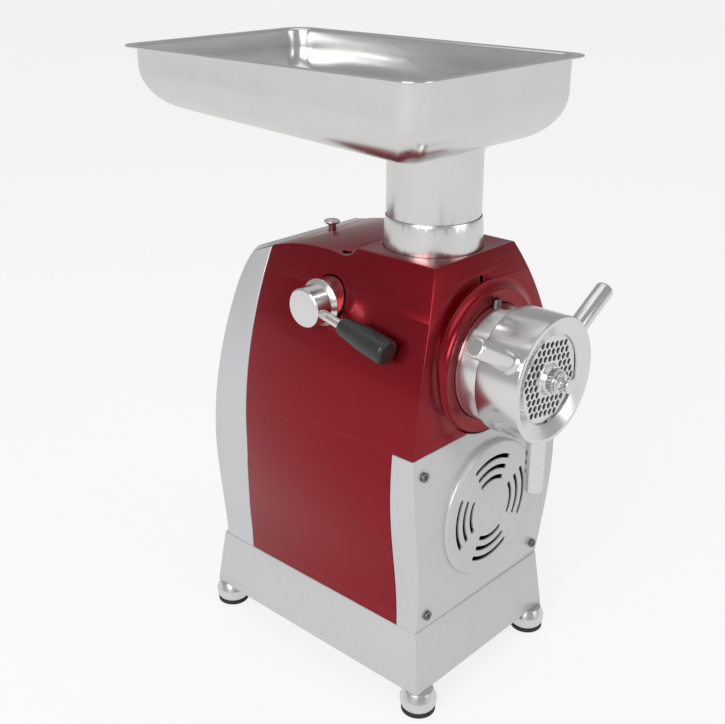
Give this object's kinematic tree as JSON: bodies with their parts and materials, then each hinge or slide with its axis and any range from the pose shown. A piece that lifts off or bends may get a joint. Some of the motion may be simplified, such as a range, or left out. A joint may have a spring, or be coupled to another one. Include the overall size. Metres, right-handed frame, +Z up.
{
  "type": "electric meat grinder",
  "caption": "Bench meat grinder: red and silver housing on a flared plinth, top tray and feed tube, front head with perforated plate and three-handled ring nut, side clamp lever.",
  "frame": {"origin": "on the floor, midway along the overall length and on the machine's middle plane", "axes": "+Z up, -Y towards the plate and ring nut (the front), +X to the side away from the clamp lever"},
  "size_m": [0.2332, 0.4338, 0.5736],
  "materials": {
    "black_plastic": "black plastic",
    "bronze": "sintered bronze",
    "cast": "painted iron casting",
    "cast_alu": "cast aluminium",
    "copper_wound": "wound copper and lamination stack",
    "grip_plastic": "black moulded grip",
    "machined": "machined steel",
    "pale_plastic": "pale plastic",
    "polished": "polished stainless steel",
    "red_paint": "metallic red paint",
    "rocker_red": "red rocker",
    "rubber": "black rubber",
    "silver_paint": "silver paint",
    "stainless": "satin stainless steel"
  },
  "bodies": {
    "machine": {"plinth": "silver_paint", "base_plate": "machined", "chassis_plate": "machined", "housing_shell": "red_paint", "front_panel": "silver_paint", "rear_cover": "silver_paint", "panel_screws": "machined", "rear_cover_screws": "machined", "socket_ring": "red_paint", "socket_casting": "cast_alu", "vent_guard": "black_plastic", "foot_cups": "stainless", "foot_studs": "machined", "foot_pads": "rubber", "motor_can": "cast", "motor_stator": "copper_wound", "motor_end_caps": "cast_alu", "motor_cradle": "machined", "motor_bearings": "machined", "gearbox_case": "cast_alu", "gearbox_cover": "cast_alu", "gearbox_screws": "machined", "gearbox_bearings": "machined", "shaft_seal": "rubber", "capacitor": "pale_plastic", "terminal_block": "pale_plastic", "power_inlet": "black_plastic", "switch_bezel": "black_plastic", "reset_switch": "black_plastic", "reset_spring": "machined", "clamp_bush": "bronze"},
    "switch": {"switch_rocker": "rocker_red"},
    "reset": {"reset_button": "polished"},
    "rotor": {"motor_shaft": "machined", "motor_rotor": "cast", "motor_fan": "black_plastic", "motor_pinion": "machined"},
    "countershaft": {"layshaft": "machined", "first_wheel": "pale_plastic", "second_pinion": "machined"},
    "output": {"output_wheel": "machined", "output_shaft": "machined"},
    "head": {"head_barrel": "polished", "index_pin": "machined", "plate_key": "machined", "plate": "polished"},
    "screw": {"auger": "stainless", "knife": "machined", "auger_stud": "polished", "knurled_nut": "stainless", "stud_washer": "polished"},
    "ring": {"ring_nut": "polished", "ring_handles": "polished"},
    "feed": {"feed_tube": "stainless"},
    "pan": {"tray": "stainless"},
    "clamp": {"clamp_shaft": "machined", "lever_hub": "polished", "lever_rod": "polished", "lever_grip": "grip_plastic"}
  },
  "joints": [
    {"name": "output_spin", "type": "hinge", "parent": "machine", "child": "output", "pos_m": [0, 0.03, 0.3249], "axis": [0, 1, 0], "continuous": true},
    {"name": "countershaft_spin", "type": "hinge", "parent": "machine", "child": "countershaft", "pos_m": [0.0129, 0.03, 0.25], "axis": [0, 1, 0], "continuous": true},
    {"name": "motor_spin", "type": "hinge", "parent": "machine", "child": "rotor", "pos_m": [0, -0.05, 0.1812], "axis": [0, 1, 0], "continuous": true},
    {"name": "head_slide", "type": "slide", "parent": "machine", "child": "head", "axis": [0, -1, 0], "range_m": [0, 0.19]},
    {"name": "auger_spin", "type": "hinge", "parent": "head", "child": "screw", "pos_m": [0, -0.1, 0.3249], "axis": [0, 1, 0], "continuous": true},
    {"name": "ring_turn", "type": "hinge", "parent": "head", "child": "ring", "pos_m": [0, -0.18, 0.3249], "axis": [0, -1, 0], "range_deg": [0, 1080]},
    {"name": "feed_tube_lift", "type": "slide", "parent": "machine", "child": "feed", "axis": [0, 0, 1], "range_m": [0, 0.11]},
    {"name": "tray_lift", "type": "slide", "parent": "feed", "child": "pan", "axis": [0, 0, 1], "range_m": [0, 0.06]},
    {"name": "clamp_turn", "type": "hinge", "parent": "machine", "child": "clamp", "pos_m": [-0.09, -0.0099, 0.3704], "axis": [1, 0, 0], "range_deg": [-100, 0]},
    {"name": "reset_press", "type": "slide", "parent": "machine", "child": "reset", "axis": [0, 0, -1], "range_m": [0, 0.0022], "stiffness_N_per_m": 900, "springref_m": -0.001, "deforming": ["reset_spring"]},
    {"name": "switch_rock", "type": "hinge", "parent": "machine", "child": "switch", "pos_m": [0, 0.10342, 0.29949], "axis": [1, 0, 0], "range_deg": [0, 16]}
  ],
  "couplings": [
    {"joint": "countershaft_spin", "follows": "output_spin", "ratio": -3.75},
    {"joint": "motor_spin", "follows": "output_spin", "ratio": 15},
    {"joint": "auger_spin", "follows": "output_spin", "ratio": 1}
  ]
}
